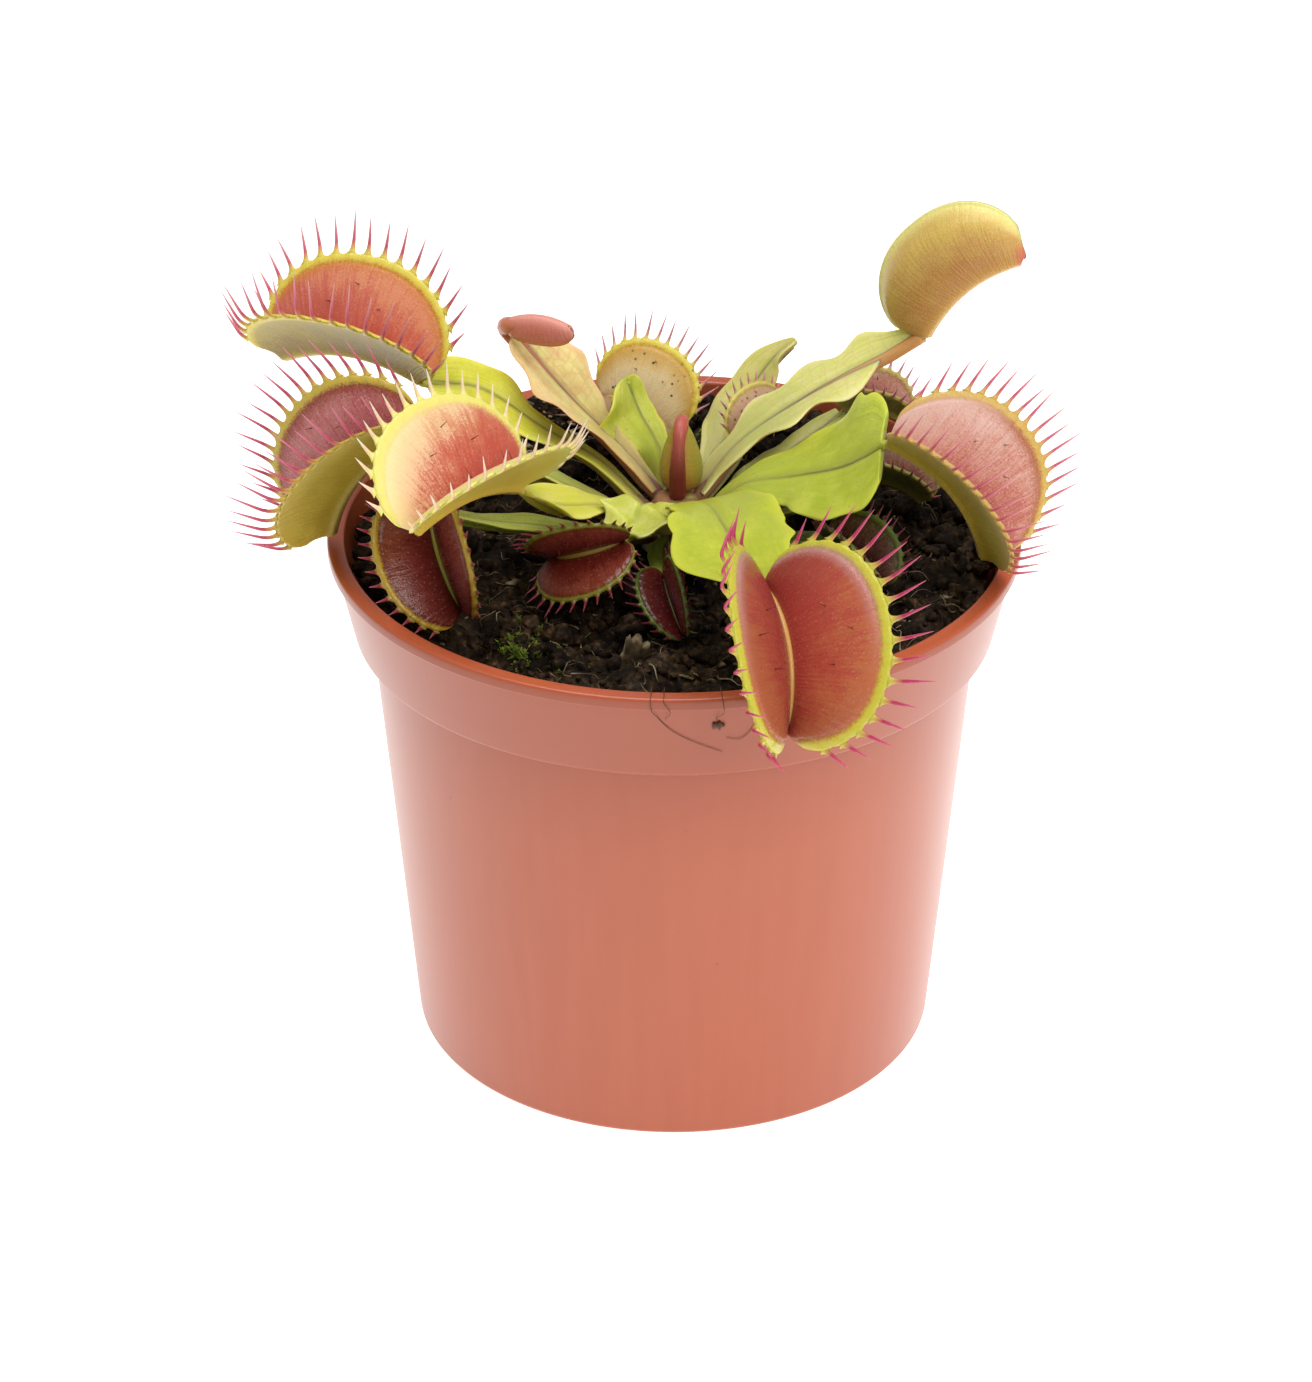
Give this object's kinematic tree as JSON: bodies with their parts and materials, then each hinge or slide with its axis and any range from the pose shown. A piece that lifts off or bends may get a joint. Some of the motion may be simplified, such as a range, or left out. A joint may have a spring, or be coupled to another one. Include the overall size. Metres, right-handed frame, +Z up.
{
  "type": "potted venus flytrap",
  "caption": "Venus flytrap in a round tapered nursery pot: a rosette of winged leaves, each ending in a hinged two-lobed trap edged with teeth.",
  "frame": {"origin": "centre of the pot's underside, on the surface that the pot stands on", "axes": "+Z up along the pot's axis, -Y towards the side that the plant shows in the picture, +X to the right in that view"},
  "size_m": [0.1106, 0.106, 0.1108],
  "materials": {
    "pot": "satin",
    "peat": "matte",
    "rhizome": "matte",
    "leaf_green": "satin",
    "trap_red": "satin",
    "trap_yellow": "satin"
  },
  "bodies": {
    "root": {"pot": "pot", "peat": "peat", "rhizome": "rhizome", "leaf_left_upper_blade": "leaf_green", "leaf_left_upper_trap": "trap_red", "leaf_left_middle_blade": "leaf_green", "leaf_left_middle_trap": "trap_red", "leaf_left_front_blade": "leaf_green", "leaf_left_front_trap": "trap_yellow", "leaf_left_low_blade": "leaf_green", "leaf_left_low_trap": "trap_red", "leaf_front_upper_blade": "leaf_green", "leaf_front_upper_trap": "trap_red", "leaf_front_lower_blade": "leaf_green", "leaf_front_lower_trap": "trap_red", "leaf_front_right_blade": "leaf_green", "leaf_front_right_trap": "trap_red", "leaf_right_middle_blade": "leaf_green", "leaf_right_middle_trap": "trap_red", "leaf_right_upper_blade": "leaf_green", "leaf_right_upper_trap": "trap_yellow", "leaf_back_left_blade": "leaf_green", "leaf_back_left_trap": "trap_red", "leaf_back_middle_blade": "leaf_green", "leaf_back_middle_trap": "trap_yellow", "leaf_back_right_blade": "leaf_green", "leaf_back_right_trap": "trap_red", "leaf_right_low_blade": "leaf_green", "leaf_right_low_trap": "trap_red", "leaf_right_back_blade": "leaf_green", "leaf_right_back_trap": "trap_red", "leaf_right_far_blade": "leaf_green", "leaf_right_far_trap": "trap_red", "leaf_young_left_blade": "leaf_green", "leaf_young_right_blade": "leaf_green", "leaf_centre_bud_trap": "trap_red"}
  },
  "joints": []
}
